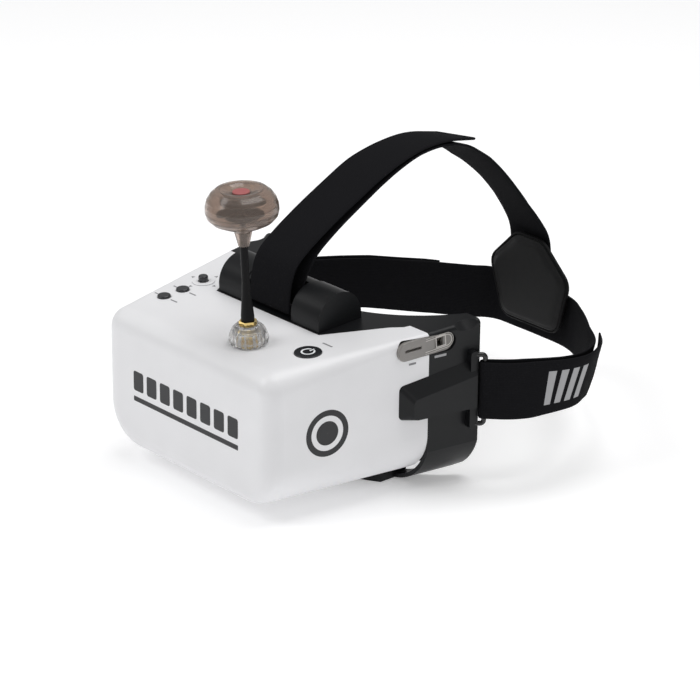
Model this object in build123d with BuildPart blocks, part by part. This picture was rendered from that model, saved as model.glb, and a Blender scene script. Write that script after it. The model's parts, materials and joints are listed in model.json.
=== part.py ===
"""Video goggles for flying model aircraft, with face housing, controls, antenna and head harness.

Frame: Y runs from the flat front face towards the wearer's head, Z is up, and X completes the right hand.
The origin is the centre of the front face. All lengths are millimetres.
"""
from build123d import *
import math
import os

os.makedirs("parts", exist_ok=True)

# ---------------------------------------------------------------- driving dimensions
front_half_width = 76.8     # half width of the front face plane before rounding
side_flare = 0.147          # outward draft of each side per unit of depth
front_top = 43.2            # top surface at the front plane
top_slope = 0.06            # rise of the top surface per unit of depth
shell_bottom = -43.0        # underside of the front shell
shell_depth = 109.0         # front plane to the seam with the rear housing
shell_wall = 2.4
front_top_corner = 13.6     # top corner radius at the front
rear_top_corner = 3.0       # top corner radius at the seam and behind it
bottom_corner = 28.0        # bottom corner radius of the front shell
front_edge_round = 12.0     # rounding of the front face's edge

housing_bottom = -52.0      # underside of the rear housing, which the goggles stand on
housing_rear = 145.0        # rear edge of the side walls
housing_wall = 2.6
cheek_reach = 34.0          # width of the curved cheek corner
cheek_crease = -26.0        # height of the crease where the side wall turns under
face_radius = 99.5          # forehead and cheek curve, seen from above
face_centre = 195.0         # Y of that curve's centre
seam_gap = 0.15
skirt_half_width = 64.0
skirt_depth = 16.5
rail_depth = 4.0
tongue_depth = 24.0
tongue_thickness = 2.4
deck_thickness = 2.4

plate_setback = 10.0        # rear face of the face plate, ahead of the housing edge
plate_thickness = 2.5
eye_half_width = 60.0
eye_low = -28.0
eye_high = 31.0
foam_thickness = 8.4
nose_half_width = 24.0
nose_top_half_width = 10.0
nose_top = -22.0
nose_front = 84.0
nose_skin = 1.5

arm_front = 88.4            # Y of the arm's front tip
arm_rear = 139.6
arm_rise = 6.5              # how far the arm stands off the wall
arm_low = -1.0
arm_front_high = 20.5
arm_rear_high = 27.2

strap_width = 36.0
strap_thickness = 1.8
strap_bar_radius = 1.5
strap_bar_y = 144.4
strap_bar_stand = 5.7         # the bar's axis stands this far outside the wall's line
strap_centre_z = 9.0
bar_end_room = 2.6          # from a strap edge to the bar's end leg

mount_length = 92.2         # top strap mount, end to end
mount_depth = 33.4
mount_height = 21.0
mount_y = 80.5
mount_cap_length = 23.4
mount_cap_step = 0.6        # the end caps stand proud of the saddle by this
mount_slot = 41.0           # slot for the top strap
pin_radius = 2.5
pin_y = 69.0
pin_rise = 5.66             # height of the pin over the top surface

power_x = 61.8
power_y = 42.1
power_radius = 8.2
key_radius = 4.1
key_x = -63.2
key_front_y = 34.7
key_rear_y = 49.1
stick_x = -64.3
stick_y = 66.1
stick_hole = 7.0
button_gap = 0.2

port_y = 106.3              # centre of the port window along the wall
port_z = 42.3
port_length = 41.0
port_height = 11.4
port_tilt = 5.6             # degrees, nose down
port_proud = 0.5
port_thickness = 2.4
sd_slot_length = 12.2
sd_slot_height = 1.7
aux_size = 5.6

antenna_x = 26.7
antenna_y = 26.9
thread_radius = 3.12
thread_gap = 0.06
coupling_flats = 9.2        # across the flats of the coupling nut
mast_base_radius = 3.95
mast_radius = 2.35
radome_radius = 21.5

display_width = 105.5
display_height = 58.0
board_z = 34.2

# ---------------------------------------------------------------- helpers


def wall_x(y):
    """Half width of the body at a depth."""
    return front_half_width + side_flare * y


def top_z(y):
    """Height of the top surface at a depth."""
    return front_top + top_slope * y


strap_bar_x = wall_x(strap_bar_y) + strap_bar_stand
pin_z = top_z(pin_y) + pin_rise


def corner_radius(y):
    """Top corner radius, which tightens from the front to the seam and stays tight behind it."""
    share = min(y / shell_depth, 1.0)
    return front_top_corner + (rear_top_corner - front_top_corner) * share


def top_plane(x, y, height=0.0):
    """Plane on the sloping top surface, raised along its normal."""
    plane = Plane(origin=(x, y, top_z(y)), x_dir=(1, 0, 0), z_dir=(0, -top_slope, 1))
    return plane.offset(height)


def side_plane(y, z, height=0.0):
    """Plane on the right side wall, X along the wall to the rear and Y up."""
    plane = Plane(origin=(wall_x(y), y, z), x_dir=(side_flare, 1, 0), z_dir=(1, -side_flare, 0))
    return plane.offset(height)


def shell_section(y, inset):
    """Rounded outline of the front shell at a depth, moved in by a wall."""
    half_width = wall_x(y) - inset
    with BuildSketch(Plane.XZ.offset(-y)) as outline:
        with BuildLine():
            Polyline(
                (-half_width, shell_bottom + inset),
                (half_width, shell_bottom + inset),
                (half_width, top_z(y) - inset),
                (-half_width, top_z(y) - inset),
                close=True,
            )
        make_face()
        fillet(outline.vertices().group_by(Axis.Y)[-1], max(corner_radius(y) - inset, 0.6))
        fillet(outline.vertices().group_by(Axis.Y)[0], bottom_corner - inset)
    return outline.sketch


def housing_section(y, inset):
    """Outline of the rear housing at a depth: flat sides, a crease, and a curved cheek below it."""
    half_width = wall_x(y) - inset
    top = top_z(y) - inset
    low = housing_bottom + inset
    foot = wall_x(y) - cheek_reach
    radius = max(rear_top_corner - inset, 0.6)
    with BuildSketch(Plane.XZ.offset(-y)) as outline:
        with BuildLine():
            Line((0, low), (foot, low))
            TangentArc((foot, low), (half_width, cheek_crease), tangent=(1, 0))
            Line((half_width, cheek_crease), (half_width, top - radius))
            TangentArc((half_width, top - radius), (half_width - radius, top), tangent=(0, 1))
            Line((half_width - radius, top), (0, top))
            mirror(about=Plane.YZ)
        make_face()
    return outline.sketch


def face_ring(inner, outer, low, high, half_width):
    """Curved bar that follows the face curve, between two radii, two heights and a half width."""
    with BuildPart() as ring:
        with BuildSketch(Plane.XY.offset(low)):
            with Locations((0, face_centre)):
                Circle(outer)
                Circle(inner, mode=Mode.SUBTRACT)
            with Locations((0, face_centre - outer / 2 - inner / 4)):
                Rectangle(2 * half_width, outer - inner / 2, mode=Mode.INTERSECT)
        extrude(amount=high - low)
    return ring.part


def face_space(radius, low=-90.0, high=90.0):
    """Upright cylinder on the face curve's centre: the room taken by the wearer's face."""
    with BuildPart() as space:
        with BuildSketch(Plane.XY.offset(low)):
            with Locations((0, face_centre)):
                Circle(radius)
        extrude(amount=high - low)
    return space.part


def nose_room(grow=0.0):
    """Arch-shaped passage for the nose, open below, from its front end to behind the housing."""
    low = housing_bottom - 10
    with BuildPart() as passage:
        with BuildSketch(Plane.XZ.offset(-(nose_front - grow))) as arch:
            with BuildLine():
                Polyline(
                    (-nose_half_width - grow, low),
                    (nose_half_width + grow, low),
                    (nose_top_half_width + grow, nose_top + grow),
                    (-nose_top_half_width - grow, nose_top + grow),
                    close=True,
                )
            make_face()
            fillet(arch.vertices().group_by(Axis.Y)[-1], 8 + grow)
        extrude(amount=-(housing_rear + 20 - nose_front))
    return passage.part


def shell_loft(front, rear, inset, edge_round):
    """Drafted block between two depths of the front shell, with its front edge rounded."""
    with BuildPart() as block:
        add(shell_section(front, inset))
        add(shell_section(rear, inset))
        loft(ruled=True)
        fillet(block.faces().sort_by(Axis.Y)[0].edges(), edge_round)
    return block.part


def housing_loft(front, rear, inset):
    """Drafted block between two depths of the rear housing."""
    with BuildPart() as block:
        add(housing_section(front, inset))
        add(housing_section(rear, inset))
        loft(ruled=True)
    return block.part


def finish(piece, name):
    """Label a finished piece and write it."""
    piece.part.label = name
    export_step(piece.part, f"parts/{name}.step")


def plate_outline(inset, inner, outer):
    """Solid inside the housing between two radii of the face curve, above the tongue."""
    floor = shell_bottom + shell_wall + tongue_thickness + 0.4
    with BuildPart() as block:
        add(shell_loft(shell_wall, shell_depth, shell_wall + deck_thickness + inset, 5.0))
        add(housing_loft(shell_depth - 0.01, housing_rear - 1, housing_wall + inset))
        add(face_ring(inner, outer, floor, front_top + 12, 100), mode=Mode.INTERSECT)
    return block.part


def pill(plane, length, height, amount):
    """Round-ended bar raised from a plane."""
    with BuildPart() as bar:
        with BuildSketch(plane):
            SlotOverall(length, height)
        extrude(amount=amount)
    return bar.part


def port_plane(height=0.0):
    """Plane of the port window on the right wall, tilted along the window."""
    return side_plane(port_y, port_z, height).rotated((0, 0, port_tilt))


# ---------------------------------------------------------------- front shell

sd_spot = (-9.0, 0.4)
aux_spot = (10.6, 0.7)
port_hole = pill(port_plane(-8), port_length + 0.4, port_height + 0.4, 12)
deck_points = [(47.5, 62.8), (49.5, 66.4), (69, 99), (74.5, 105), (79, 120)]
deck_outline = deck_points + [(-x, y) for x, y in reversed(deck_points)]


def deck_block(grow, depth):
    """The part of the top surface that belongs to the rear housing, as a plate along the slope."""
    slope_length = math.hypot(1, top_slope)
    with BuildPart() as block:
        with BuildSketch(top_plane(0, 0)):
            Polygon(*[(x, y * slope_length) for x, y in deck_outline], align=None)
            if grow:
                offset(amount=grow, kind=Kind.INTERSECTION)
        extrude(amount=-depth)
    return block.part


screw_spots = [(-52, 82), (-20, 76), (20, 76), (52, 82)]
board_spots = [(-48, 28), (48, 28), (-48, 54), (48, 54)]
board_thickness = 1.6
board_screw_radius = 1.1

with BuildPart() as front_shell:
    add(shell_loft(0, shell_depth, 0, front_edge_round))
    add(shell_loft(shell_wall, shell_depth + 1, shell_wall, front_edge_round - shell_wall), mode=Mode.SUBTRACT)
    add(face_space(face_radius + rail_depth + 0.3, -60, -25), mode=Mode.SUBTRACT)
    add(nose_room(), mode=Mode.SUBTRACT)
    add(deck_block(seam_gap, 12), mode=Mode.SUBTRACT)
    add(port_hole, mode=Mode.SUBTRACT)
    with BuildSketch(top_plane(power_x, power_y, 5)):
        Circle(power_radius + button_gap)
    extrude(amount=-15, mode=Mode.SUBTRACT)
    for key_y in (key_front_y, key_rear_y):
        with BuildSketch(top_plane(key_x, key_y, 5)):
            Circle(key_radius + button_gap)
        extrude(amount=-15, mode=Mode.SUBTRACT)
    with BuildSketch(top_plane(stick_x, stick_y, 5)):
        Circle(stick_hole + seam_gap)
    extrude(amount=-15, mode=Mode.SUBTRACT)
    with BuildSketch(top_plane(antenna_x, antenna_y, 5)):
        Circle(thread_radius + 0.1)
    extrude(amount=-15, mode=Mode.SUBTRACT)
    for spot_x, spot_y in board_spots:
        with BuildSketch(Plane.XY.offset(board_z + board_thickness + 0.05)):
            with Locations((spot_x, spot_y)):
                Circle(2.8)
                Circle(board_screw_radius + 0.03, mode=Mode.SUBTRACT)
        extrude(amount=top_z(spot_y) - shell_wall - board_z - board_thickness + 0.4)
    for spot_x, spot_y in screw_spots:
        with BuildSketch(Plane.XY.offset(shell_bottom - 1)):
            with Locations((spot_x, spot_y)):
                Circle(1.35)
        extrude(amount=6, mode=Mode.SUBTRACT)
        with BuildSketch(Plane.XY.offset(shell_bottom - 1)):
            with Locations((spot_x, spot_y)):
                Circle(2.4)
        extrude(amount=2.3, mode=Mode.SUBTRACT)
finish(front_shell, "front_shell")

# ---------------------------------------------------------------- rear housing

tongue_low = shell_bottom + shell_wall + 0.1
tongue_high = tongue_low + tongue_thickness
scoop_y = 133.5             # thumb scoop in each rear top corner edge
scoop_radius = 15.0
scoop_depth = 3.4
scoop_length = 30.0


def scoop_tool(extra):
    """Round cutter across both rear top corner edges, larger by extra where it backs the scoop."""
    lift = (scoop_radius - scoop_depth) * math.sqrt(0.5)
    centre = (wall_x(scoop_y) + lift, scoop_y, top_z(scoop_y) + lift)
    with BuildPart() as tool:
        with Locations(Plane(origin=centre, z_dir=(1, 0, -1))):
            Cylinder(scoop_radius + extra, scoop_length)
        mirror(about=Plane.YZ)
    return tool.part


with BuildPart() as rear_housing:
    add(housing_loft(shell_depth + seam_gap, housing_rear, 0))
    add(housing_loft(shell_depth - 20, housing_rear + 1, housing_wall), mode=Mode.SUBTRACT)
    skirt_radius = face_radius + skirt_depth
    add(face_ring(face_radius, skirt_radius, housing_bottom, shell_bottom - 0.15, skirt_half_width))
    add(face_ring(face_radius, face_radius + rail_depth, housing_bottom + 1, tongue_high, skirt_half_width - 1))
    add(face_ring(face_radius, face_radius + tongue_depth, tongue_low, tongue_high, skirt_half_width - 4))
    add(deck_block(0, deck_thickness))
    add(housing_loft(shell_depth + seam_gap, housing_rear, 0) & scoop_tool(housing_wall))
    add(scoop_tool(0), mode=Mode.SUBTRACT)
    add(face_space(face_radius), mode=Mode.SUBTRACT)
    add(nose_room(), mode=Mode.SUBTRACT)
    add(port_hole, mode=Mode.SUBTRACT)
    for spot_x, spot_y in screw_spots:
        with BuildSketch(Plane.XY.offset(tongue_low - 1)):
            with Locations((spot_x, spot_y)):
                Circle(1.12)
        extrude(amount=tongue_thickness + 2, mode=Mode.SUBTRACT)
finish(rear_housing, "rear_housing")

# ---------------------------------------------------------------- face side: plate, foam, shield, shroud, lens

plate_inner = face_radius + plate_setback
plate_outer = plate_inner + plate_thickness

with BuildPart() as face_plate:
    add(plate_outline(0.2, plate_inner, plate_outer))
    with BuildSketch(Plane.XZ.offset(-60)):
        with Locations((0, (eye_low + eye_high) / 2)):
            RectangleRounded(2 * eye_half_width, eye_high - eye_low, 14)
    extrude(amount=-100, mode=Mode.SUBTRACT)
    add(nose_room(0.2), mode=Mode.SUBTRACT)
    with BuildSketch(port_plane(-1)):
        with Locations(aux_spot):
            Rectangle(aux_size + 2.6, aux_size + 2.6)
    extrude(amount=-12, mode=Mode.SUBTRACT)
    add(scoop_tool(housing_wall + 0.2), mode=Mode.SUBTRACT)
finish(face_plate, "face_plate")

with BuildPart() as face_foam:
    add(plate_outline(0.8, plate_inner - foam_thickness, plate_inner - 0.1))
    with BuildSketch(Plane.XZ.offset(-60)):
        with Locations((0, (eye_low + eye_high) / 2)):
            RectangleRounded(2 * eye_half_width + 5, eye_high - eye_low + 5, 15)
    extrude(amount=-100, mode=Mode.SUBTRACT)
    add(nose_room(0.6), mode=Mode.SUBTRACT)
    add(scoop_tool(housing_wall + 0.8), mode=Mode.SUBTRACT)
finish(face_foam, "face_foam")

with BuildPart() as nose_shield:
    add(nose_room(-0.2))
    add(nose_room(-0.2 - nose_skin).moved(Location((0, nose_skin + 0.2, 0))), mode=Mode.SUBTRACT)
    with BuildSketch(Plane.XY.offset(housing_bottom + 0.2)):
        with Locations((0, face_centre)):
            Circle(face_radius + skirt_depth + 10)
            Circle(face_radius + 0.8, mode=Mode.SUBTRACT)
    extrude(amount=60, mode=Mode.INTERSECT)
finish(nose_shield, "nose_shield")

shroud_front = 66.4
shroud_wall = 1.8

with BuildPart() as eye_shroud:
    with BuildSketch(Plane.XZ.offset(-shroud_front)):
        with Locations((0, (eye_low + eye_high) / 2)):
            shroud_height = eye_high - eye_low + 4 + 2 * shroud_wall
            RectangleRounded(2 * (eye_half_width + 2 + shroud_wall), shroud_height, 15.8)
            RectangleRounded(2 * (eye_half_width + 2), eye_high - eye_low + 4, 14, mode=Mode.SUBTRACT)
    extrude(amount=-60)
    add(face_space(plate_outer + 0.1), mode=Mode.SUBTRACT)
    add(nose_room(0.2), mode=Mode.SUBTRACT)
finish(eye_shroud, "eye_shroud")

lens_y = 62.0
lens_thickness = 3.2

with BuildPart() as lens_frame:
    with BuildSketch(Plane.XZ.offset(-(lens_y - 1.6))):
        with Locations((0, (eye_low + eye_high) / 2)):
            RectangleRounded(2 * (eye_half_width + 6), eye_high - eye_low + 7, 14)
            RectangleRounded(2 * eye_half_width, eye_high - eye_low - 2, 12, mode=Mode.SUBTRACT)
    extrude(amount=-(lens_thickness + 2.6))
    with BuildSketch(Plane.XZ.offset(-lens_y)):
        with Locations((0, (eye_low + eye_high) / 2)):
            RectangleRounded(2 * (eye_half_width + 3), eye_high - eye_low + 3, 12.5)
    extrude(amount=-(lens_thickness + 1.1), mode=Mode.SUBTRACT)
finish(lens_frame, "lens_frame")

with BuildPart() as eye_lens:
    with BuildSketch(Plane.XZ.offset(-(lens_y + 0.1))):
        with Locations((0, (eye_low + eye_high) / 2)):
            RectangleRounded(2 * (eye_half_width + 2.9), eye_high - eye_low + 2.8, 12.4)
    extrude(amount=-lens_thickness)
finish(eye_lens, "eye_lens")

# ---------------------------------------------------------------- display side

display_y = 14.0
display_centre = 1.0

with BuildPart() as light_box:
    with BuildSketch(Plane.XZ.offset(-(display_y + 4.2))):
        with Locations((0, display_centre)):
            Rectangle(display_width + 3.6, display_height - 2)
    with BuildSketch(Plane.XZ.offset(-(lens_y - 1.7))):
        with Locations((0, (eye_low + eye_high) / 2)):
            Rectangle(2 * (eye_half_width + 1.8), eye_high - eye_low + 1)
    loft(ruled=True)
    with BuildSketch(Plane.XZ.offset(-(display_y + 4.1))):
        with Locations((0, display_centre)):
            Rectangle(display_width, display_height - 5.6)
    with BuildSketch(Plane.XZ.offset(-(lens_y - 1.6))):
        with Locations((0, (eye_low + eye_high) / 2)):
            Rectangle(2 * eye_half_width, eye_high - eye_low - 2.6)
    loft(ruled=True, mode=Mode.SUBTRACT)
finish(light_box, "light_box")

with BuildPart() as display_panel:
    with BuildSketch(Plane.XZ.offset(-display_y)):
        with Locations((0, display_centre)):
            Rectangle(display_width, display_height - 0.4)
    extrude(amount=-2.6)
finish(display_panel, "display_panel")

with BuildPart() as display_frame:
    with BuildSketch(Plane.XZ.offset(-(display_y - 1.6))):
        with Locations((0, display_centre)):
            RectangleRounded(display_width + 7, display_height + 4, 3)
    extrude(amount=-5.7)
    with BuildSketch(Plane.XZ.offset(-(display_y - 0.1))):
        with Locations((0, display_centre)):
            Rectangle(display_width + 0.4, display_height)
    extrude(amount=-2.8, mode=Mode.SUBTRACT)
    with BuildSketch(Plane.XZ.offset(-display_y)):
        with Locations((0, display_centre)):
            Rectangle(display_width - 8, display_height - 6)
    extrude(amount=-10, mode=Mode.SUBTRACT)
finish(display_frame, "display_frame")

# ---------------------------------------------------------------- electronics

with BuildPart() as main_board:
    with BuildSketch(Plane.XY.offset(board_z)):
        with Locations((0, 41)):
            RectangleRounded(104, 34, 2)
    extrude(amount=board_thickness)
    with BuildSketch(Plane.XY.offset(board_z + board_thickness)):
        with GridLocations(16, 14, 4, 1):
            with Locations((0, 38)):
                Rectangle(9, 9)
    extrude(amount=1.1)
    with BuildSketch(Plane.XY.offset(board_z)):
        with Locations(*board_spots):
            Circle(board_screw_radius + 0.1)
    extrude(amount=5, mode=Mode.SUBTRACT)
finish(main_board, "main_board")

with BuildPart() as board_screws:
    for spot_x, spot_y in board_spots:
        with BuildSketch(Plane.XY.offset(board_z - 1.25)):
            with Locations((spot_x, spot_y)):
                Circle(2.1)
        extrude(amount=1.2)
        with BuildSketch(Plane.XY.offset(board_z - 0.1)):
            with Locations((spot_x, spot_y)):
                Circle(board_screw_radius)
        extrude(amount=4.6)
finish(board_screws, "board_screws")

with BuildPart() as receiver_module:
    with BuildSketch(Plane.XY.offset(board_z + board_thickness + 0.05)):
        with Locations((6, 50)):
            Rectangle(22, 13)
    extrude(amount=3.4)
finish(receiver_module, "receiver_module")

with BuildPart() as patch_antenna:
    with BuildSketch(Plane.XZ.offset(-(shell_wall + 1.0))):
        with Locations((0, 0)):
            Rectangle(42, 42)
    extrude(amount=-3.0)
    with BuildSketch(Plane.XZ.offset(-(shell_wall + 4.0))):
        Rectangle(50, 50)
    extrude(amount=-1.0)
finish(patch_antenna, "patch_antenna")

with BuildPart() as battery_pack:
    with BuildSketch(Plane.XY.offset(shell_bottom + shell_wall + 0.4)):
        with Locations((0, 42)):
            RectangleRounded(92, 44, 3)
    extrude(amount=7.4)
    fillet(battery_pack.edges().group_by(Axis.Z)[-1], 1.5)
finish(battery_pack, "battery_pack")

with BuildPart() as shell_screws:
    for spot_x, spot_y in screw_spots:
        with BuildSketch(Plane.XY.offset(shell_bottom + 0.1)):
            with Locations((spot_x, spot_y)):
                Circle(2.2)
        extrude(amount=1.1)
        with BuildSketch(Plane.XY.offset(shell_bottom + 1.2)):
            with Locations((spot_x, spot_y)):
                Circle(1.05)
        extrude(amount=5.0)
        with BuildSketch(Plane.XY.offset(shell_bottom)):
            with Locations((spot_x, spot_y)):
                RegularPolygon(1.0, 6)
        extrude(amount=0.8, mode=Mode.SUBTRACT)
finish(shell_screws, "shell_screws")

# ---------------------------------------------------------------- arms and strap bars

strap_low = strap_centre_z - strap_width / 2
strap_high = strap_centre_z + strap_width / 2
leg_high = strap_high + bar_end_room + strap_bar_radius
leg_low = strap_low - bar_end_room - strap_bar_radius
lug_y = 138.6
lug_rise = 4.4
leg_foot = (wall_x(lug_y) + lug_rise / 2 + 0.2, lug_y)
arm_middle = 115.0
wall_stretch = math.hypot(1, side_flare)


def arm_outline(setback, lift, drop):
    """Side outline of an arm: a wedge with a rounded nose, moved in at its front and top."""
    front = (arm_front + setback - arm_middle) * wall_stretch
    rear = (arm_rear - arm_middle) * wall_stretch
    with BuildSketch() as outline:
        Polygon(
            (front, arm_low + lift),
            (rear, arm_low + lift - 1.4),
            (rear, arm_rear_high - drop),
            (front, arm_front_high - drop),
            align=None,
        )
        fillet(outline.vertices().group_by(Axis.X)[0], 3.4)
    return outline.sketch


with BuildPart() as right_strap_bar:
    with BuildLine() as bar_line:
        FilletPolyline(
            (*leg_foot, leg_high),
            (strap_bar_x, strap_bar_y, leg_high),
            (strap_bar_x, strap_bar_y, leg_low),
            (*leg_foot, leg_low),
            radius=2.2,
        )
    with BuildSketch(Plane(origin=bar_line.line @ 0, z_dir=bar_line.line % 0)):
        Circle(strap_bar_radius)
    sweep()
finish(right_strap_bar, "right_strap_bar")

with BuildPart() as right_arm:
    with BuildSketch(side_plane(arm_middle, 0, 0.08)):
        add(arm_outline(0, 0, 0))
    with BuildSketch(side_plane(arm_middle, 0, arm_rise)):
        add(arm_outline(6.5, 0.8, 8.0))
    loft(ruled=True)
    with BuildSketch(side_plane(lug_y, (leg_high + leg_low) / 2, 0.08)):
        RectangleRounded(5.4, leg_high - leg_low + 2 * strap_bar_radius + 2, 2)
    extrude(amount=lug_rise)
    add(right_strap_bar.part, mode=Mode.SUBTRACT)
finish(right_arm, "right_arm")

with BuildPart() as left_strap_bar:
    add(mirror(right_strap_bar.part, about=Plane.YZ, mode=Mode.PRIVATE))
finish(left_strap_bar, "left_strap_bar")

with BuildPart() as left_arm:
    add(mirror(right_arm.part, about=Plane.YZ, mode=Mode.PRIVATE))
finish(left_arm, "left_arm")

# ---------------------------------------------------------------- top strap mount

mount_foot_gap = 0.08


def mount_plane(x):
    """Plane across the top strap mount, X up the slope and Y away from the deck."""
    return Plane(origin=(x, mount_y, top_z(mount_y)), x_dir=(0, 1, top_slope), z_dir=(1, 0, 0))


def mount_block(start, length, inset):
    """Stretch of the mount's D-shaped bar."""
    half_depth = mount_depth / 2 - inset
    straight = mount_height - mount_depth / 2
    with BuildPart() as block:
        with BuildSketch(mount_plane(start)):
            with BuildLine():
                Polyline(
                    (-half_depth, straight),
                    (-half_depth, mount_foot_gap),
                    (half_depth, mount_foot_gap),
                    (half_depth, straight),
                )
                ThreePointArc((half_depth, straight), (0, straight + half_depth), (-half_depth, straight))
            make_face()
        extrude(amount=length)
    return block.part


saddle_half = mount_length / 2 - mount_cap_length
pin_reach = saddle_half + 2.4

with BuildPart() as mount_saddle:
    add(mount_block(-saddle_half + 0.05, 2 * saddle_half - 0.1, mount_cap_step))
    with BuildSketch(Plane.YZ.offset(-mount_slot / 2)):
        Polygon((pin_y + 9.5, 30), (pin_y + 9.5, 90), (pin_y - 20, 90), (pin_y - 20, 30), align=None)
    extrude(amount=mount_slot, mode=Mode.SUBTRACT)
    with BuildSketch(Plane.YZ.offset(-saddle_half - 1)):
        with Locations((pin_y, pin_z)):
            Circle(pin_radius + 0.05)
    extrude(amount=2 * saddle_half + 2, mode=Mode.SUBTRACT)
finish(mount_saddle, "mount_saddle")

with BuildPart() as right_mount_cap:
    add(mount_block(saddle_half, mount_cap_length, 0))
    add(mount_block(saddle_half + 2.0, mount_cap_length - 4.0, 2.0), mode=Mode.SUBTRACT)
    with BuildSketch(Plane.YZ.offset(saddle_half - 1)):
        with Locations((pin_y, pin_z)):
            Circle(pin_radius + 0.05)
    extrude(amount=4, mode=Mode.SUBTRACT)
finish(right_mount_cap, "right_mount_cap")

with BuildPart() as left_mount_cap:
    add(mirror(right_mount_cap.part, about=Plane.YZ, mode=Mode.PRIVATE))
finish(left_mount_cap, "left_mount_cap")

with BuildPart() as strap_pin:
    with BuildSketch(Plane.YZ.offset(-pin_reach)):
        with Locations((pin_y, pin_z)):
            Circle(pin_radius)
    extrude(amount=2 * pin_reach)
finish(strap_pin, "strap_pin")

# ---------------------------------------------------------------- buttons and joystick

button_depth = 5.0


def power_symbol(plane):
    """Open ring with a short bar in its gap."""
    with BuildSketch(plane) as symbol:
        Circle(4.3)
        Circle(3.2, mode=Mode.SUBTRACT)
        with Locations((0, 4)):
            Rectangle(2.6, 4, mode=Mode.SUBTRACT)
        with Locations((0, 3.1)):
            Rectangle(1.0, 3.6)
    return symbol.sketch


with BuildPart() as power_button:
    with BuildSketch(top_plane(power_x, power_y, -button_depth)):
        Circle(power_radius)
    extrude(amount=button_depth + 0.7)
    fillet(power_button.edges().group_by(Axis.Z)[-1], 0.3)
    add(power_symbol(top_plane(power_x, power_y, 0.2)))
    extrude(amount=2, mode=Mode.SUBTRACT)
finish(power_button, "power_button")

with BuildPart() as power_icon:
    add(power_symbol(top_plane(power_x, power_y, 0.2)))
    extrude(amount=0.52)
finish(power_icon, "power_icon")

for key_name, key_y in (("front_key", key_front_y), ("rear_key", key_rear_y)):
    with BuildPart() as menu_key:
        with BuildSketch(top_plane(key_x, key_y, -button_depth)):
            Circle(key_radius)
        extrude(amount=button_depth + 1.5)
        fillet(menu_key.edges().group_by(Axis.Z)[-1], 0.8)
    finish(menu_key, key_name)

stick_pivot = -3.2
yoke_radius = 4.4


def stick_plane(height=0.0):
    """Plane of the joystick at a height above the top surface."""
    return top_plane(stick_x, stick_y, height)


with BuildPart() as stick_bezel:
    with BuildSketch(stick_plane(-shell_wall - 0.1)):
        Circle(stick_hole)
    extrude(amount=shell_wall + 0.6)
    with BuildSketch(stick_plane(-shell_wall - 0.15)):
        Circle(stick_hole + 1.6)
    extrude(amount=-1.4)
    with BuildSketch(stick_plane(-shell_wall - 0.2)):
        Circle(stick_hole)
    extrude(amount=0.2)
    with BuildSketch(stick_plane(-shell_wall - 1.6)):
        Circle(5.0)
    extrude(amount=2.6, mode=Mode.SUBTRACT)
    with BuildSketch(stick_plane(-shell_wall - 1.6)):
        Circle(3.4)
    extrude(amount=6, mode=Mode.SUBTRACT)
    with BuildSketch(Plane(origin=stick_plane(stick_pivot).origin - Vector(6.4, 0, 0), z_dir=(1, 0, 0))):
        Circle(0.56)
    extrude(amount=12.8, mode=Mode.SUBTRACT)
finish(stick_bezel, "stick_bezel")

with BuildPart() as stick_yoke:
    with BuildSketch(stick_plane(stick_pivot - 0.6)):
        Circle(yoke_radius)
    extrude(amount=1.2)
    with BuildSketch(Plane(origin=stick_plane(stick_pivot).origin - Vector(6.2, 0, 0), z_dir=(1, 0, 0))):
        Circle(0.5)
    extrude(amount=12.4)
    with BuildSketch(stick_plane(stick_pivot - 2)):
        Circle(2.2)
    extrude(amount=4, mode=Mode.SUBTRACT)
    with BuildSketch(Plane(origin=stick_plane(stick_pivot).origin, z_dir=(0, 1, top_slope))):
        Circle(0.5)
    extrude(amount=yoke_radius + 1, both=True, mode=Mode.SUBTRACT)
finish(stick_yoke, "stick_yoke")

with BuildPart() as stick_stem:
    with BuildSketch(stick_plane(stick_pivot - 1.3)):
        Circle(1.3)
    extrude(amount=1.3 - stick_pivot + 2.0)
    with BuildSketch(Plane(origin=stick_plane(stick_pivot).origin, z_dir=(0, 1, top_slope))):
        Circle(0.44)
    extrude(amount=3.4, both=True)
finish(stick_stem, "stick_stem")

with BuildPart() as stick_cap:
    with BuildSketch(stick_plane(1.65)):
        Circle(3.0)
    extrude(amount=2.5)
    fillet(stick_cap.edges().group_by(Axis.Z)[-1], 0.9)
    with BuildSketch(stick_plane(1.0)):
        Circle(1.36)
    extrude(amount=1.7, mode=Mode.SUBTRACT)
finish(stick_cap, "stick_cap")

switch_gap = 0.9
switch_spots = [(key_x, key_front_y), (key_x, key_rear_y), (power_x, power_y)]

with BuildPart() as switch_boards:
    with BuildSketch(top_plane(key_x, key_front_y, -button_depth - 4.0)):
        with Locations((-0.6, 15.5)):
            RectangleRounded(13, 46, 1.5)
    extrude(amount=1.4)
    with BuildSketch(top_plane(power_x, power_y, -button_depth - 4.0)):
        RectangleRounded(14, 14, 1.5)
    extrude(amount=1.4)
    for spot_x, spot_y in switch_spots:
        with BuildSketch(top_plane(spot_x, spot_y, -button_depth - 2.6)):
            Rectangle(6, 6)
        extrude(amount=2.6 - switch_gap)
    with BuildSketch(stick_plane(-button_depth - 2.6)):
        Rectangle(7, 7)
    extrude(amount=1.8)
finish(switch_boards, "switch_boards")

# ---------------------------------------------------------------- side ports

socket_front = -(port_thickness - port_proud) - 0.2

with BuildPart() as port_window:
    add(pill(port_plane(port_proud - port_thickness), port_length, port_height, port_thickness))
    fillet(port_window.faces().filter_by(GeomType.PLANE).sort_by(Axis.X)[-1].edges(), 0.35)
    with BuildSketch(port_plane(5)):
        with Locations(sd_spot):
            Rectangle(sd_slot_length, sd_slot_height)
        with Locations(aux_spot):
            Rectangle(aux_size, aux_size)
    extrude(amount=-12, mode=Mode.SUBTRACT)
finish(port_window, "port_window")

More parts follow.
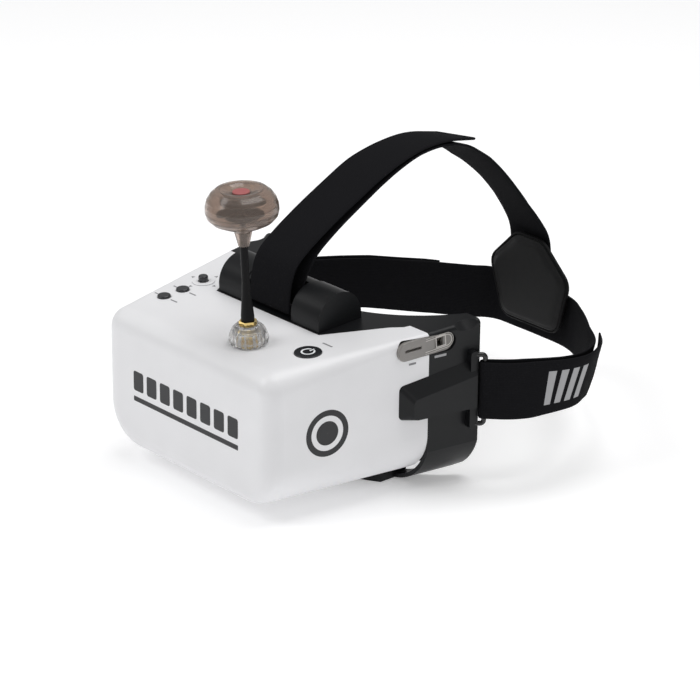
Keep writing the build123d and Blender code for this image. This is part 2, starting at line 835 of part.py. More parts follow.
with BuildPart() as sd_socket:
    with BuildSketch(port_plane(socket_front)):
        with Locations(sd_spot):
            Rectangle(sd_slot_length + 2, sd_slot_height + 1.6)
    extrude(amount=-13)
    with BuildSketch(port_plane(socket_front)):
        with Locations(sd_spot):
            Rectangle(sd_slot_length, sd_slot_height)
    extrude(amount=-12, mode=Mode.SUBTRACT)
finish(sd_socket, "sd_socket")

with BuildPart() as aux_socket:
    with BuildSketch(port_plane(socket_front)):
        with Locations(aux_spot):
            Rectangle(aux_size + 1.8, aux_size + 1.8)
    extrude(amount=-10)
    with BuildSketch(port_plane(socket_front)):
        with Locations(aux_spot):
            Rectangle(aux_size, aux_size)
    extrude(amount=-8.5, mode=Mode.SUBTRACT)
    with BuildSketch(port_plane(socket_front - 9)):
        with Locations(aux_spot):
            Rectangle(aux_size * 0.6, 1.5)
    extrude(amount=8.2)
finish(aux_socket, "aux_socket")

# ---------------------------------------------------------------- antenna

antenna_foot = (antenna_x, antenna_y, top_z(antenna_y))
antenna_axis = Axis(antenna_foot, (0, -top_slope, 1))


def turned(points):
    """Solid of revolution about the antenna's axis, from points of radius and height."""
    with BuildPart() as piece:
        with BuildSketch(Plane(origin=antenna_foot, x_dir=(1, 0, 0), z_dir=(0, -1, -top_slope))):
            Polygon(*points, align=None)
        revolve(axis=antenna_axis)
    return piece.part


def hexagon(flats, low, high, bore):
    """Hexagonal nut about the antenna's axis."""
    with BuildPart() as nut:
        with BuildSketch(top_plane(antenna_x, antenna_y, low)):
            RegularPolygon(flats / 2, 6, major_radius=False)
            Circle(bore, mode=Mode.SUBTRACT)
        extrude(amount=high - low)
    return nut.part


thread_top = 9.0
neck_radius = 2.5
nut_low = 6.2
nut_shoulder = 10.25
hex_low = 11.4
hex_high = 14.7
sleeve_radius = 4.4

with BuildPart() as antenna_jack:
    add(turned([
        (0.7, 4), (0, 4), (0, -7.2), (4.2, -7.2), (4.2, -shell_wall - 0.3), (thread_radius, -shell_wall - 0.3),
        (thread_radius, thread_top), (0.7, thread_top),
    ]))
finish(antenna_jack, "antenna_jack")

with BuildPart() as jack_nut:
    add(hexagon(8.0, 0.06, 2.1, thread_radius + thread_gap))
finish(jack_nut, "jack_nut")

with BuildPart() as coupling_nut:
    add(turned([
        (thread_radius + thread_gap, nut_low), (sleeve_radius, nut_low), (sleeve_radius, hex_low + 0.5),
        (neck_radius + 0.08, hex_low + 0.5), (neck_radius + 0.08, nut_shoulder),
        (thread_radius + thread_gap, nut_shoulder),
    ]))
    add(hexagon(coupling_flats, hex_low, hex_high, neck_radius + 0.08))
finish(coupling_nut, "coupling_nut")

with BuildPart() as grip_collar:
    add(turned([
        (10.7, 0.5), (11.8, 2.6), (11.7, 5.0), (10.6, 8.4), (8.4, 11.2), (6.9, 12.4), (5.7, 12.4), (5.7, 11.3),
        (sleeve_radius + 0.02, 11.3), (sleeve_radius + 0.02, 6.5), (5.6, 6.5), (6.2, 10.4), (9.2, 7.4),
        (10.2, 4.6), (10.2, 2.8), (9.3, 0.5),
    ]))
finish(grip_collar, "grip_collar")

with BuildPart() as antenna_plug:
    add(turned([
        (0, 4.6), (0.6, 4.6), (0.6, thread_top + 0.2), (3.0, thread_top + 0.2), (3.0, nut_shoulder - 0.1),
        (neck_radius, nut_shoulder - 0.1), (neck_radius, 17.0), (0, 17.0),
    ]))
finish(antenna_plug, "antenna_plug")

with BuildPart() as antenna_mast:
    add(turned([
        (neck_radius + 0.02, hex_high + 0.15), (mast_base_radius, hex_high + 0.15), (mast_base_radius, 17.5),
        (3.4, 24), (2.75, 31), (mast_radius, 38), (mast_radius, 64.0), (0, 64.0), (0, 17.05),
        (neck_radius + 0.02, 17.05),
    ]))
finish(antenna_mast, "antenna_mast")

seam_height = 83.4

with BuildPart() as radome_base:
    add(turned([
        (mast_radius + 0.03, 61.5), (3.3, 61.5), (4.2, 65.5), (5.4, 70.5), (8.5, 73.4), (14.0, 75.2),
        (18.2, 77.4), (20.7, 80.2), (radome_radius, seam_height), (radome_radius - 1.4, seam_height),
        (19.0, 80.6), (16.8, 78.6), (13.4, 76.8), (7.6, 74.9), (3.6, 71.8), (mast_radius + 0.03, 66),
    ]))
finish(radome_base, "radome_base")

with BuildPart() as radome_cap:
    add(turned([
        (radome_radius, seam_height + 0.05), (21.3, 87.0), (20.2, 90.4), (18.0, 93.6), (15.2, 95.8),
        (12.6, 96.6), (10.0, 96.2), (7.4, 94.9), (5.2, 94.2), (0, 94.0), (0, 92.7), (5.4, 92.8), (8.0, 93.6),
        (10.6, 94.8),
        (12.6, 95.1), (14.6, 94.5), (17.0, 92.6),
        (18.8, 89.8), (19.8, 86.8), (radome_radius - 1.4, seam_height + 0.05),
    ]))
finish(radome_cap, "radome_cap")

with BuildPart() as cap_seal:
    with BuildSketch(top_plane(antenna_x, antenna_y, 94.3)):
        Circle(5.0)
    extrude(amount=0.5)
finish(cap_seal, "cap_seal")

with BuildPart() as antenna_core:
    add(turned([
        (0, 64.05), (2.2, 64.05), (2.2, 78.4), (10.5, 79.6), (10.5, 80.6), (2.2, 80.6), (2.2, 88), (0, 88),
    ]))
    with BuildSketch(top_plane(antenna_x, antenna_y, 84.0)):
        Circle(6.5)
        with PolarLocations(11.0, 4):
            Ellipse(6.6, 5.0)
    extrude(amount=1.2)
    with BuildSketch(top_plane(antenna_x, antenna_y, 88.0)):
        Circle(12.5)
    extrude(amount=1.0)
finish(antenna_core, "antenna_core")

# ---------------------------------------------------------------- harness


def soft_radii(points):
    """Arc radius for each inner corner of a route, as large as its shorter run allows."""
    radii = []
    for before, corner, after in zip(points, points[1:], points[2:]):
        run_in = Vector(*corner) - Vector(*before)
        run_out = Vector(*after) - Vector(*corner)
        turn = math.radians(run_in.get_angle(run_out))
        radii.append(0.47 * min(run_in.length, run_out.length) / math.tan(turn / 2))
    return radii


def fold_points(centre, heading, radius):
    """Two corners of a fold round a bar, for webbing that leaves the bar along a heading."""
    length = math.hypot(*heading)
    ahead = (heading[0] / length, heading[1] / length)
    nose = (centre[0] - radius * ahead[0], centre[1] - radius * ahead[1])
    across = (ahead[1] * radius, -ahead[0] * radius)
    return (nose[0] - across[0], nose[1] - across[1]), (nose[0] + across[0], nose[1] + across[1])


def webbing(points, plane, height):
    """Webbing of one thickness along a route drawn on a plane."""
    with BuildPart() as strip:
        with BuildSketch(plane):
            with BuildLine():
                FilletPolyline(*points, radius=soft_radii(points))
            trace(line_width=strap_thickness)
        extrude(amount=height)
    return strip.part


bar_fold = strap_bar_radius + 0.3 + strap_thickness / 2
pin_fold = pin_radius + 0.3 + strap_thickness / 2
pad_back = 287.8
band_drop = [(135, 0), (175, -0.6), (215, -2.6), (250, -7.6), (275, -12.6), (300, -16.0)]
band_profile = [(y, strap_low + drop) for y, drop in band_drop]
band_profile += [(y, strap_high + drop) for y, drop in reversed(band_drop)]


def side_band(points):
    """Side webbing that sinks towards the back of the head."""
    with BuildPart() as strip:
        add(webbing(points, Plane.XY.offset(strap_low - 15), strap_width + 20))
        with BuildSketch(Plane.YZ.offset(-170)):
            Polygon(*band_profile, align=None)
        extrude(amount=340, mode=Mode.INTERSECT)
    return strip.part


right_inside, right_outside = fold_points((strap_bar_x, strap_bar_y), (0.74, 0.67), bar_fold)
right_route = [
    (0.4, pad_back), (36, 286.8), (70, 262.6), (97.5, 239), (115.5, 219), (123.2, 202), (123.4, 188),
    (119.2, 173), (112, 158.5), right_inside, right_outside, (117.4, 154.5), (124, 170), (128.2, 186.6),
    (128.2, 203), (118.6, 221.6), (103.4, 240.2),
]
left_outside, left_inside = fold_points((-strap_bar_x, strap_bar_y), (0.05, 1.0), bar_fold)
left_route = [
    (-0.4, pad_back), (-36.5, 287.6), (-44.5, 271), (-52.5, 254), (-63, 237), (-79, 214), (-93, 189),
    (-99.6, 165), left_inside, left_outside, (-105.8, 166), (-98.8, 190.8), (-84, 216.6), (-67.5, 240),
    (-57, 257),
]

with BuildPart() as right_band:
    add(side_band(right_route))
finish(right_band, "right_band")

with BuildPart() as left_band:
    add(side_band(left_route))
finish(left_band, "left_band")

pin_rear, pin_front = fold_points((pin_y, pin_z), (0.0, 1.0), pin_fold)
pin_ends = sorted([pin_rear, pin_front], reverse=True)
lower_run = [(143, 65.6), (104, 43.0), (85, 29.4), (75.8, 13.0)]       # depth, and height over the pin
upper_run = [(65.4, 11.0), (69.6, 26.0), (84, 37.0), (104, 49.2), (142, 69.4)]
top_route = [
    (285.0, 15.5), (283.8, 34), (282.0, 49.4), (272.8, 63.6), (254, 87.4), (232, 108.2), (207, 124.6),
    (187, 128.6), (167, 126.8), *[(y, pin_z + rise) for y, rise in lower_run], *pin_ends,
    *[(y, pin_z + rise) for y, rise in upper_run], (167, 129.3), (189, 131.0), (214, 126.3),
]

with BuildPart() as top_band:
    add(webbing(top_route, Plane.YZ.offset(-strap_width / 2), strap_width))
finish(top_band, "top_band")

pad_lean = 0.042
pad_plane = Plane(origin=(4.3, 279, 18.6), x_dir=(-1, 0, 0), z_dir=(0, 1, pad_lean))
pad_thickness = 6.4

with BuildPart() as rear_pad:
    with BuildSketch(pad_plane.offset(-pad_thickness / 2)):
        with BuildLine():
            FilletPolyline(
                (12, 28.6), (36, 5), (25, -32.6), (-25, -32.6), (-36, 5), (-12, 28.6),
                close=True, radius=7,
            )
        make_face()
    extrude(amount=pad_thickness)
    fillet(rear_pad.faces().sort_by(Axis.Y)[0].edges(), 2.0)
finish(rear_pad, "rear_pad")
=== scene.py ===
"""Looks of the flying goggles: finishes, soft goods, printed marks and studio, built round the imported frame.

Lengths in the dataclasses are millimetres, and become metres where a mesh is made; the studio's are metres.
The frame has Y from the flat front towards the wearer, Z up and its origin at the centre of the front face.
"""

import json
import logging
import math
from dataclasses import dataclass
from enum import Enum
from typing import Callable, Optional, Sequence, Union

import bmesh
import bpy
import numpy as np
from mathutils import Matrix, Vector


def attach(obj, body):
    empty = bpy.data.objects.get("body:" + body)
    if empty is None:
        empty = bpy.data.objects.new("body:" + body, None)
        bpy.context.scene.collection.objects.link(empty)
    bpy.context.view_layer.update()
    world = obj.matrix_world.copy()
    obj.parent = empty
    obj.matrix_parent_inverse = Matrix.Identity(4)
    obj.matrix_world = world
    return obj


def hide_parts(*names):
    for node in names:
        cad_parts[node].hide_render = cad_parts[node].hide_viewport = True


MM = 0.001
MAIN = "goggles"
CLOTH_MEASURE = 2
FRAME_MEASURE = 3
MIX_INPUTS = (0, 6, 7)
MIX_COLOUR = 2
LOG = logging.getLogger("goggles")
Colour = tuple[float, float, float]
Point = tuple[float, float]
Value = Union["Wire", float]

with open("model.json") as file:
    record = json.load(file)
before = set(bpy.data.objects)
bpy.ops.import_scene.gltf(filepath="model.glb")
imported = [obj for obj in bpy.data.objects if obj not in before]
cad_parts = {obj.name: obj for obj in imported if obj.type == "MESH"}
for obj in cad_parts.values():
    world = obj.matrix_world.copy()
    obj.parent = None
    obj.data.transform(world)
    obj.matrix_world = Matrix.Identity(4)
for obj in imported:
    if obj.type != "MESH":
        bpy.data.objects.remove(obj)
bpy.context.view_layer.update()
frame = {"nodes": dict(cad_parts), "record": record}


# ---------------------------------------------------------------- shader maths


class Wire:
    """An output socket that can be used in arithmetic, which adds Math nodes to its tree."""

    def __init__(self, tree: bpy.types.NodeTree, socket: bpy.types.NodeSocket) -> None:
        """Wraps a socket of a tree."""
        self.tree = tree
        self.socket = socket

    def maths(self, operation: str, *values: Value) -> "Wire":
        """Adds one Math node.

        Args:
            operation: the node's operation.
            values: its inputs, in order.

        Returns:
            The node's result.
        """
        node = self.tree.nodes.new("ShaderNodeMath")
        node.operation = operation
        for socket, value in zip(node.inputs, values):
            if isinstance(value, Wire):
                self.tree.links.new(value.socket, socket)
            else:
                socket.default_value = value
        return Wire(self.tree, node.outputs[0])

    def __add__(self, other: Value) -> "Wire":
        """Sum."""
        return self.maths("ADD", self, other)

    def __radd__(self, other: Value) -> "Wire":
        """Sum with a number on the left."""
        return self.maths("ADD", other, self)

    def __sub__(self, other: Value) -> "Wire":
        """Difference."""
        return self.maths("SUBTRACT", self, other)

    def __rsub__(self, other: Value) -> "Wire":
        """Difference from a number on the left."""
        return self.maths("SUBTRACT", other, self)

    def __mul__(self, other: Value) -> "Wire":
        """Product."""
        return self.maths("MULTIPLY", self, other)

    def __rmul__(self, other: Value) -> "Wire":
        """Product with a number on the left."""
        return self.maths("MULTIPLY", other, self)

    def sine(self) -> "Wire":
        """Sine of the value in radians."""
        return self.maths("SINE", self)

    def size(self) -> "Wire":
        """Absolute value."""
        return self.maths("ABSOLUTE", self)

    def over(self, limit: float) -> "Wire":
        """1 where the value is above a limit, else 0."""
        return self.maths("GREATER_THAN", self, limit)

    def swing(self, reach: float) -> "Wire":
        """Triangle wave of the value, between 0 and reach."""
        return self.maths("PINGPONG", self, reach)


class Painter:
    """Builds one material round a Principled shader."""

    def __init__(self, name: str) -> None:
        """Starts an empty material."""
        self.material = bpy.data.materials.new(name)
        self.material.use_nodes = True
        self.tree = self.material.node_tree
        self.shader = self.tree.nodes["Principled BSDF"]

    def node(
        self, kind: str, settings: Optional[dict] = None, inputs: Optional[dict] = None, output: int = 0
    ) -> Wire:
        """Adds any node.

        Args:
            kind: the node's type name.
            settings: its properties, set before the inputs.
            inputs: values or wires by socket name or number.
            output: number of the output to return.

        Returns:
            The chosen output.
        """
        node = self.tree.nodes.new(kind)
        for name, value in (settings or {}).items():
            setattr(node, name, value)
        for key, value in (inputs or {}).items():
            if isinstance(value, Wire):
                self.tree.links.new(value.socket, node.inputs[key])
            else:
                node.inputs[key].default_value = value
        return Wire(self.tree, node.outputs[output])

    def place(self, by_cloth: bool = False) -> Wire:
        """Where a point is: in the frame, or along and across the cloth it belongs to."""
        return self.node("ShaderNodeTexCoord", output=CLOTH_MEASURE if by_cloth else FRAME_MEASURE)

    def split(self, wire: Wire) -> tuple[Wire, Wire, Wire]:
        """The three parts of a vector."""
        parts = self.node("ShaderNodeSeparateXYZ", inputs={0: wire})
        outputs = parts.socket.node.outputs
        return Wire(self.tree, outputs[0]), Wire(self.tree, outputs[1]), Wire(self.tree, outputs[2])

    def noise(self, where: Wire, grain_mm: float, detail: float = 2.0) -> Wire:
        """Noise with features of about the given size."""
        inputs = {"Vector": where, "Scale": 1 / (grain_mm * MM), "Detail": detail}
        return self.node("ShaderNodeTexNoise", inputs=inputs)

    def cells(self, where: Wire, grain_mm: float) -> Wire:
        """Distance to the nearest of scattered points."""
        return self.node("ShaderNodeTexVoronoi", inputs={"Vector": where, "Scale": 1 / (grain_mm * MM)})

    def between(self, share: Wire, first: Colour, second: Colour) -> Wire:
        """Colour from first to second."""
        inputs = dict(zip(MIX_INPUTS, (share, (*first, 1), (*second, 1))))
        return self.node("ShaderNodeMix", {"data_type": "RGBA"}, inputs, MIX_COLOUR)

    def relief(self, height: Wire, strength: float, depth_mm: float) -> None:
        """Lets a height shape the surface's normal."""
        inputs = {"Height": height, "Strength": strength, "Distance": depth_mm * MM}
        self.feed(Normal=self.node("ShaderNodeBump", inputs=inputs))

    def feed(self, **wires: Wire) -> None:
        """Links wires to the shader; an underscore in a name stands for a space."""
        for name, wire in wires.items():
            self.tree.links.new(wire.socket, self.shader.inputs[name.replace("_", " ")])

    def fix(self, values: dict[str, float]) -> None:
        """Sets constants on the shader's own sockets."""
        for name, value in values.items():
            self.shader.inputs[name].default_value = value


def shade(colour: Colour, factor: float) -> Colour:
    """A colour made lighter or darker."""
    return tuple(min(1.0, part * factor) for part in colour)


# ---------------------------------------------------------------- finishes


@dataclass(frozen=True)
class Finish:
    """A finish with a name, a colour and a roughness."""

    name: str
    colour: Colour
    roughness: float

    def paint(self, painter: Painter) -> None:
        """Adds this finish's nodes to a material."""
        raise NotImplementedError

    def material(self) -> bpy.types.Material:
        """The material of this finish, made once."""
        title = f"{self.name}_finish"
        found = bpy.data.materials.get(title)
        if found:
            return found
        painter = Painter(title)
        self.paint(painter)
        return painter.material


@dataclass(frozen=True)
class Moulding(Finish):
    """Moulded or painted plastic with a fine spark texture and slight cloudiness."""

    grain_mm: float = 0.35
    relief: float = 0.12
    unevenness: float = 0.08
    coat: float = 0.0
    specular: float = 0.5

    def paint(self, painter: Painter) -> None:
        """Cloudy colour, patchy gloss and a fine texture."""
        where = painter.place()
        cloud = painter.noise(where, 38)
        spark = painter.noise(where, self.grain_mm, 3)
        painter.feed(
            Base_Color=painter.between(cloud, shade(self.colour, 0.95), shade(self.colour, 1.05)),
            Roughness=self.roughness + (cloud - 0.5) * self.unevenness + (spark - 0.5) * self.unevenness,
        )
        painter.relief(spark, self.relief, 0.05)
        painter.fix({"Coat Weight": self.coat, "Coat Roughness": 0.2, "Specular IOR Level": self.specular})


@dataclass(frozen=True)
class Metal(Finish):
    """Turned or plated metal with faint tool marks."""

    def paint(self, painter: Painter) -> None:
        """Slight tarnish and fine lines."""
        where = painter.place()
        tarnish = painter.noise(where, 3.0, 4)
        painter.feed(
            Base_Color=painter.between(tarnish, shade(self.colour, 0.8), shade(self.colour, 1.1)),
            Roughness=self.roughness + (tarnish - 0.5) * 0.2,
        )
        painter.relief(painter.noise(where, 0.3), 0.1, 0.03)
        painter.fix({"Metallic": 1.0})


@dataclass(frozen=True)
class Clear(Finish):
    """See-through plastic, from clear to smoked."""

    passes: float = 1.0
    refraction: float = 1.49
    solidity: float = 1.0

    def paint(self, painter: Painter) -> None:
        """Tint with flow lines from the moulding."""
        where = painter.place()
        flow = painter.noise(where, 9.0, 3)
        painter.feed(
            Base_Color=painter.between(flow, shade(self.colour, 0.88), shade(self.colour, 1.08)),
            Roughness=self.roughness + (flow - 0.5) * 0.08,
        )
        painter.relief(flow, 0.08, 0.1)
        painter.fix({"Transmission Weight": self.passes, "IOR": self.refraction, "Alpha": self.solidity})


@dataclass(frozen=True)
class Webbing(Finish):
    """Knitted elastic with fine ribs along it, cross rows and firmer edges."""

    rib_mm: float = 1.1
    row_mm: float = 0.8
    half_width_mm: float = 18.0
    selvage_mm: float = 1.6

    def paint(self, painter: Painter) -> None:
        """Ribs and rows by the cloth's own measure, so they follow every fold."""
        across, along, _ = painter.split(painter.place(by_cloth=True))
        turn = 2 * math.pi / MM
        zigzag = (across * (1 / MM)).swing(self.rib_mm)
        row = (along * (turn / self.row_mm) + zigzag * 2.2).sine() * 0.5 + 0.5
        rib = (across * (turn / self.rib_mm)).sine() * 0.5 + 0.5
        edge = across.size().over((self.half_width_mm - self.selvage_mm) * MM)
        knit = row * 0.6 + rib * (0.4 - edge * 0.25) + edge * 0.15
        fluff = painter.noise(painter.place(), 0.9, 4)
        mottle = knit * 0.6 + fluff * 0.4
        painter.feed(
            Base_Color=painter.between(mottle, shade(self.colour, 0.55), shade(self.colour, 1.5)),
            Roughness=self.roughness + fluff * 0.1,
        )
        painter.relief(knit + fluff * 0.3, 0.55, 0.22)
        painter.fix({"Specular IOR Level": 0.04})


@dataclass(frozen=True)
class Hide(Finish):
    """Smooth synthetic leather with a pebbled grain."""

    pebble_mm: float = 0.7

    def paint(self, painter: Painter) -> None:
        """Pebbles, fine creases and handling gloss."""
        where = painter.place()
        pebble = painter.cells(where, self.pebble_mm)
        crease = painter.noise(where, 4.0, 5)
        painter.feed(
            Base_Color=painter.between(crease, shade(self.colour, 0.8), shade(self.colour, 1.25)),
            Roughness=self.roughness + (crease - 0.5) * 0.12,
        )
        painter.relief(pebble * 0.6 + crease * 0.4, 0.3, 0.12)
        painter.fix({"Specular IOR Level": 0.16})


@dataclass(frozen=True)
class Foam(Finish):
    """Open foam under brushed cloth."""

    def paint(self, painter: Painter) -> None:
        """Fine nap over soft pores."""
        where = painter.place()
        nap = painter.noise(where, 0.6, 5)
        pores = painter.cells(where, 1.3)
        painter.feed(
            Base_Color=painter.between(nap, shade(self.colour, 0.6), shade(self.colour, 1.5)),
            Roughness=self.roughness + (nap - 0.5) * 0.1,
        )
        painter.relief(nap * 0.6 + pores * 0.4, 0.6, 0.3)
        painter.fix({"Sheen Weight": 0.06, "Sheen Roughness": 0.6, "Specular IOR Level": 0.15})


@dataclass(frozen=True)
class Board(Finish):
    """Circuit board with tracks under solder mask."""

    track_mm: float = 1.6

    def paint(self, painter: Painter) -> None:
        """Lighter tracks where two sets of lines cross."""
        where = painter.place()
        x, y, _ = painter.split(where)
        turn = 2 * math.pi / (self.track_mm * MM)
        wander = painter.noise(where, 7.0) * 9
        tracks = ((x * turn + wander).sine() * (y * turn + wander).sine()).over(0.35)
        painter.feed(Base_Color=painter.between(tracks, self.colour, shade(self.colour, 1.9)))
        painter.relief(tracks, 0.3, 0.05)
        painter.fix({"Roughness": self.roughness, "Coat Weight": 0.4})


class Finishes(Enum):
    """Every finish on the goggles, by the record's slot or the maker's word."""

    WHITE_SHELL = Moulding("white_shell", (0.80, 0.80, 0.815), 0.38, 0.5, 0.06, 0.06)
    BLACK_SHELL = Moulding("black_shell", (0.008, 0.0085, 0.0095), 0.36, 0.3, 0.2, 0.06, 0.0, 0.22)
    BLACK_BAR = Moulding("black_bar", (0.008, 0.008, 0.009), 0.2, 0.5, 0.05)
    INNER_PLASTIC = Moulding("inner_plastic", (0.014, 0.014, 0.015), 0.62, 0.3, 0.3)
    SOFT_RUBBER = Moulding("soft_rubber", (0.010, 0.010, 0.011), 0.75, 0.5, 0.25, 0.08, 0.0, 0.25)
    BUTTON_GLOSS = Moulding("button_gloss", (0.012, 0.013, 0.016), 0.26, 0.5, 0.05, 0.05, 0.3)
    ICON_WHITE = Moulding("icon_white", (0.82, 0.84, 0.86), 0.4)
    BATTERY_WRAP = Moulding("battery_wrap", (0.05, 0.12, 0.36), 0.3, 0.8, 0.1)
    MAST_SLEEVE = Moulding("mast_sleeve", (0.006, 0.006, 0.0065), 0.45, 1.4, 0.2, 0.08, 0.0, 0.12)
    ANTENNA_METAL = Moulding("antenna_metal", (0.016, 0.015, 0.015), 0.5)
    SEAL_RED = Moulding("seal_red", (0.38, 0.10, 0.10), 0.42)
    DARK_PRINT = Moulding("dark_print", (0.014, 0.0145, 0.017), 0.5)
    PALE_PRINT = Moulding("pale_print", (0.36, 0.36, 0.37), 0.7, 0.5, 0.4)
    LABEL_PRINT = Moulding("label_print", (0.22, 0.22, 0.23), 0.55)
    DISPLAY_GLASS = Moulding("display_glass", (0.010, 0.011, 0.014), 0.1, 0.5, 0.02, 0.02, 1.0)
    SCREW_STEEL = Metal("screw_steel", (0.16, 0.16, 0.17), 0.38)
    STICK_METAL = Metal("stick_metal", (0.45, 0.45, 0.46), 0.34)
    SOCKET_METAL = Metal("socket_metal", (0.52, 0.50, 0.45), 0.34)
    GOLD = Metal("gold", (1.0, 0.71, 0.28), 0.2)
    LENS_ACRYLIC = Clear("lens_acrylic", (0.95, 0.96, 0.98), 0.03)
    CLEAR_COLLAR = Clear("clear_collar", (0.96, 0.95, 0.94), 0.16, 0.92, 1.46)
    SMOKED_WINDOW = Clear("smoked_window", (0.40, 0.38, 0.36), 0.2, 0.45, 1.46)
    SMOKED_RADOME = Clear("smoked_radome", (0.56, 0.46, 0.40), 0.14, 0.85, 1.40)
    # Pale ink for painted highlights: thin lines that stand for light caught on the rounded rims of the port
    # window and its socket.
    WINDOW_LINE = Moulding("window_rim_highlight", (0.52, 0.50, 0.47), 0.25, 0.5, 0.05)
    CIRCUIT_BOARD = Board("circuit_board", (0.02, 0.12, 0.05), 0.4)
    WEBBING = Webbing("webbing", (0.0095, 0.0095, 0.0108), 0.86)
    PAD_COVER = Hide("pad_cover", (0.017, 0.017, 0.0175), 0.6)
    PAD_PIPING = Hide("pad_piping", (0.005, 0.005, 0.0055), 0.66, 0.5)
    FOAM = Foam("foam", (0.013, 0.013, 0.014), 0.9)


def dress_nodes() -> None:
    """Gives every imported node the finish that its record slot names."""
    by_name = {finish.value.name: finish.value for finish in Finishes}
    for part in frame["record"]["subparts"]:
        node = frame["nodes"][part["node"]]
        material = by_name[part["material_slot"]].material()
        if not node.material_slots:
            node.data.materials.append(material)
        for slot in node.material_slots:
            slot.material = material


# ---------------------------------------------------------------- mesh tools


def new_piece(
    name: str, verts: Sequence, faces: Sequence, finish: Finishes, body: str
) -> bpy.types.Object:
    """Makes a smooth-shaded piece that rides on a body.

    Args:
        name: the piece's name.
        verts: points in metres.
        faces: point numbers of each face.
        finish: what it is made of.
        body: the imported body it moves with.

    Returns:
        The new object.
    """
    mesh = bpy.data.meshes.new(name)
    mesh.from_pydata([tuple(v) for v in verts], [], [tuple(f) for f in faces])
    mesh.update()
    mesh.polygons.foreach_set("use_smooth", [True] * len(mesh.polygons))
    piece = bpy.data.objects.new(name, mesh)
    bpy.context.scene.collection.objects.link(piece)
    mesh.materials.append(finish.value.material())
    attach(piece, body)
    LOG.info("made %s with %d faces", name, len(faces))
    return piece


def rounded(
    points: Sequence[Point], closed: bool = False, share: float = 0.48, steps: int = 8
) -> list[Vector]:
    """Turns a cornered route into one with a curve at each corner.

    Args:
        points: the corners.
        closed: whether the route returns to its start.
        share: how much of the shorter run beside a corner its curve takes.
        steps: points on each curve.

    Returns:
        Points along the route.
    """
    corners = [Vector(point) for point in points]
    count = len(corners)
    line = [] if closed else [corners[0]]
    for i in range(count) if closed else range(1, count - 1):
        before, corner, after = corners[i - 1], corners[i], corners[(i + 1) % count]
        reach = share * min((corner - before).length, (after - corner).length)
        start = corner + (before - corner).normalized() * reach
        end = corner + (after - corner).normalized() * reach
        for k in range(steps + 1):
            t = k / steps
            line.append(start * (1 - t) ** 2 + corner * (2 * t * (1 - t)) + end * t**2)
    if not closed:
        line.append(corners[-1])
    return line


def evenly(line: Sequence[Vector], step: float) -> list[Vector]:
    """Points a fixed step apart along a line."""
    array = np.array([tuple(p) for p in line])
    gaps = np.linalg.norm(np.diff(array, axis=0), axis=1)
    walked = np.concatenate([[0], np.cumsum(gaps)])
    count = max(2, round(walked[-1] / step))
    marks = np.linspace(0, walked[-1], count + 1)
    return [Vector((np.interp(m, walked, array[:, 0]), np.interp(m, walked, array[:, 1]))) for m in marks]


def follow(table: Sequence[Point], place: float) -> float:
    """The value of a table of places and values, drawn straight between its rows."""
    return float(np.interp(place, [row[0] for row in table], [row[1] for row in table]))


def band_faces(first: int, second: int, count: int) -> list[tuple[int, ...]]:
    """The faces between two closed rings of the same number of points."""
    return [(first + i, first + (i + 1) % count, second + (i + 1) % count, second + i) for i in range(count)]


def face_outwards(piece: bpy.types.Object) -> None:
    """Turns all of a piece's faces outwards."""
    mesh = bmesh.new()
    mesh.from_mesh(piece.data)
    bmesh.ops.recalc_face_normals(mesh, faces=mesh.faces)
    mesh.to_mesh(piece.data)
    mesh.free()


# ---------------------------------------------------------------- harness


@dataclass
class Strap:
    """Webbing of one width and thickness that follows a route drawn on a plane."""

    name: str
    node: str
    route: Sequence[Point]
    place: Callable[[Vector, float], Vector]
    width: float = 36.0
    thickness: float = 1.8
    step: float = 1.5
    slant: float = 0.0
    tail_length: float = 70.0
    columns: tuple[float, ...] = (-1, -0.985, -0.95, -0.7, -0.35, 0, 0.35, 0.7, 0.95, 0.985, 1)

    def skin(self, across: float) -> float:
        """Half thickness at a place across the width, thin at the selvage."""
        side = abs(across)
        full = self.thickness / 2
        return full * (0.3 if side == 1 else 0.75 if side > 0.98 else 0.93 if side > 0.9 else 1.0)

    def build(self) -> bpy.types.Object:
        """Makes the strap with a measure of the cloth in its texture map.

        Returns:
            The strap.
        """
        line = evenly(rounded(self.route), self.step)
        ring = [(w, 1) for w in self.columns] + [(w, -1) for w in reversed(self.columns)]
        verts, chart, last = [], [], len(line) - 1
        for i in range(len(line)):
            tail = max(0.0, 1 - (last - i) * self.step / self.tail_length)
            for across, side in ring:
                back = i - tail * self.slant * (1 - across) / 2 / self.step
                low = min(int(back), last - 1)
                here = line[low].lerp(line[low + 1], back - low)
                heading = (line[low + 1] - line[max(low - 1, 0)]).normalized()
                normal = Vector((-heading.y, heading.x))
                spot = here + normal * (side * self.skin(across))
                verts.append(self.place(spot, across) * MM)
                chart.append((across * self.width / 2 * MM, back * self.step * MM))
        size = len(ring)
        faces = []
        for i in range(last):
            faces += band_faces(i * size, (i + 1) * size, size)
        half = len(self.columns)
        for first, turned in ((0, True), (last * size, False)):
            for k in range(half - 1):
                quad = (first + k, first + k + 1, first + size - 2 - k, first + size - 1 - k)
                faces.append(tuple(reversed(quad)) if turned else quad)
        piece = new_piece(self.name, verts, faces, Finishes.WEBBING, MAIN)
        layer = piece.data.uv_layers.new(name="cloth")
        for loop in piece.data.loops:
            layer.data[loop.index].uv = chart[loop.vertex_index]
        face_outwards(piece)
        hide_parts(self.node)
        self.width * MM
        return piece


